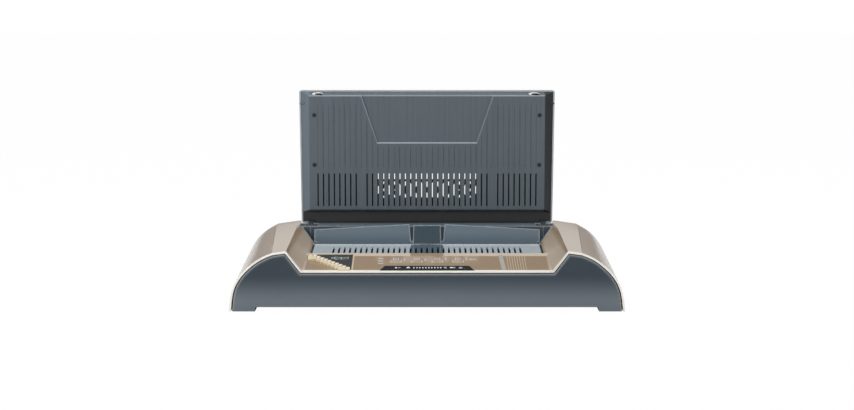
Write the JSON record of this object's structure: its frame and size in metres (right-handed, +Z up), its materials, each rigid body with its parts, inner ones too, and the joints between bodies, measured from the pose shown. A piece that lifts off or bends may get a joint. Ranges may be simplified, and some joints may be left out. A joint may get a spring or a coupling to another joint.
{
  "type": "thermal binding machine",
  "caption": "Desktop thermal binding machine: humped shell, slotted deck, heated spine well, folding document flap and a tall hinged lid with a slotted inner panel.",
  "frame": {"origin": "on the table under the middle of the body", "axes": "+X to the right seen from the front, +Y to the rear, +Z up; front faces -Y"},
  "size_m": [0.53, 0.24, 0.2745],
  "materials": {
    "champagne": "glossy clear-coated moulding",
    "graphite": "satin moulding",
    "slate": "glossy moulding",
    "lid_slate": "fine textured moulding",
    "cream": "satin moulding",
    "silver": "fine metallic paint",
    "black_gloss": "polished",
    "black_matte": "matte",
    "rubber": "matte",
    "white_rubber": "translucent soft pad",
    "steel": "plated",
    "aluminium": "cast",
    "ceramic_white": "glazed ceramic",
    "board_green": "laminate"
  },
  "bodies": {
    "base": {"top_shell": "champagne", "front_panel": "graphite", "rear_panel": "graphite", "base_tray": "graphite", "foot_rail_left": "graphite", "foot_rail_right": "graphite", "foot_pads": "rubber", "base_screws": "steel", "vent_strip": "slate", "well_liner": "slate", "rear_bridge": "slate", "heating_plate": "aluminium", "heater_strips": "steel", "plate_standoffs": "ceramic_white", "heat_shield": "steel", "thermostat": "black_matte", "thermal_fuse": "ceramic_white", "control_board": "board_green", "display_module": "black_matte", "key_switches": "black_matte", "buzzer": "black_matte", "power_board": "board_green", "transformer": "steel", "power_inlet": "black_matte", "switch_housing": "black_matte", "display_window": "black_gloss", "gauge_steps": "cream", "gauge_plate": "graphite", "flap_rod": "steel", "hinge_bracket_left": "graphite", "hinge_bracket_right": "graphite", "lid_hinge_pins": "steel"},
    "lid": {"lid_outer_shell": "silver", "lid_window_grille": "graphite", "lid_inner_panel": "lid_slate", "lid_recess_strip": "black_matte", "lid_screws": "black_matte", "lid_bumpers": "white_rubber", "lid_side_latches": "lid_slate", "lid_hinge_arm_left": "graphite", "lid_hinge_arm_right": "graphite"},
    "flap": {"support_flap": "slate", "flap_label_plate": "graphite", "flap_spring": "steel"},
    "select_key": {"select_key": "black_gloss"},
    "power_key": {"power_key": "black_gloss"},
    "rocker": {"power_rocker": "black_matte"}
  },
  "joints": [
    {"name": "lid_hinge", "type": "hinge", "parent": "base", "child": "lid", "pos_m": [0, 0.08, 0.076], "axis": [1, 0, 0], "range_deg": [0, 96.6]},
    {"name": "flap_hinge", "type": "hinge", "parent": "base", "child": "flap", "pos_m": [0, -0.002, 0.0663], "axis": [1, 0, 0], "range_deg": [0, 107.4]},
    {"name": "select_key_press", "type": "slide", "parent": "base", "child": "select_key", "axis": [0, 0.1505, -0.9886], "range_m": [0, 0.0008], "stiffness_N_per_m": 500},
    {"name": "power_key_press", "type": "slide", "parent": "base", "child": "power_key", "axis": [0, 0.1505, -0.9886], "range_m": [0, 0.0008], "stiffness_N_per_m": 500},
    {"name": "power_switch_rock", "type": "hinge", "parent": "base", "child": "rocker", "pos_m": [0.168, 0.1155, 0.038], "axis": [1, 0, 0], "range_deg": [0, 18]}
  ],
  "couplings": [
    {"joint": "flap_hinge", "follows": "lid_hinge", "ratio": 1.1118}
  ]
}
